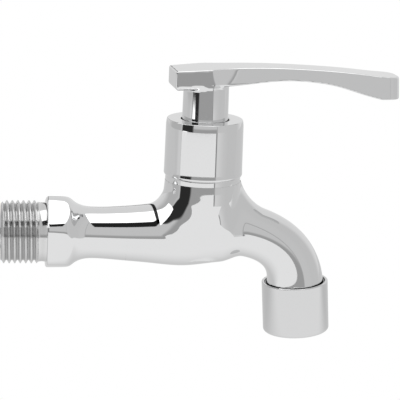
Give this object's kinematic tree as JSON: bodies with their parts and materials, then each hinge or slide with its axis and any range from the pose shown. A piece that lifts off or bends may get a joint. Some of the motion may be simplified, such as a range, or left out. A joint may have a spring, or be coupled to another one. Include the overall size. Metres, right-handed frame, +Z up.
{
  "type": "washing machine tap",
  "caption": "Chromed wall tap with a threaded inlet, a hexagonal collar, a round bonnet, a quarter-turn lever and a bent spout ending in an aerator ring.",
  "frame": {"origin": "on the inlet axis, in the plane of the hexagonal collar's wall-side face", "axes": "+X from the wall towards the spout along the inlet axis, +Z up along the valve axis, +Y across to the left seen from the wall"},
  "size_m": [0.1319, 0.026, 0.0914],
  "materials": {
    "chromed_brass": "bright chrome plate over polished brass",
    "chromed_zinc": "bright chrome plate over die-cast zinc",
    "raw_brass": "turned, unplated",
    "spring_steel": "plain",
    "black_rubber": "smooth, matte",
    "white_nylon": "smooth",
    "ceramic": "lapped white ceramic",
    "grey_plastic": "moulded"
  },
  "bodies": {
    "tap": {"tap_body": "chromed_brass", "bonnet": "chromed_brass", "bonnet_washer": "white_nylon", "cartridge_body": "raw_brass", "cartridge_oring": "black_rubber", "seat_seal": "black_rubber", "fixed_disc": "ceramic", "outlet_ring": "chromed_brass", "outlet_gasket": "black_rubber", "aerator_housing": "grey_plastic", "aerator_plate": "grey_plastic", "aerator_grid": "grey_plastic"},
    "lever": {"handle": "chromed_zinc", "handle_grub_screw": "spring_steel", "spindle": "raw_brass", "spindle_oring_lower": "black_rubber", "spindle_oring_upper": "black_rubber", "thrust_washer": "white_nylon", "stop_ring": "raw_brass", "spindle_circlip": "spring_steel", "moving_disc": "ceramic"}
  },
  "joints": [
    {"name": "lever_turn", "type": "hinge", "parent": "tap", "child": "lever", "pos_m": [0.0517, 0, 0.04], "axis": [0, 0, 1], "range_deg": [0, 90]}
  ]
}
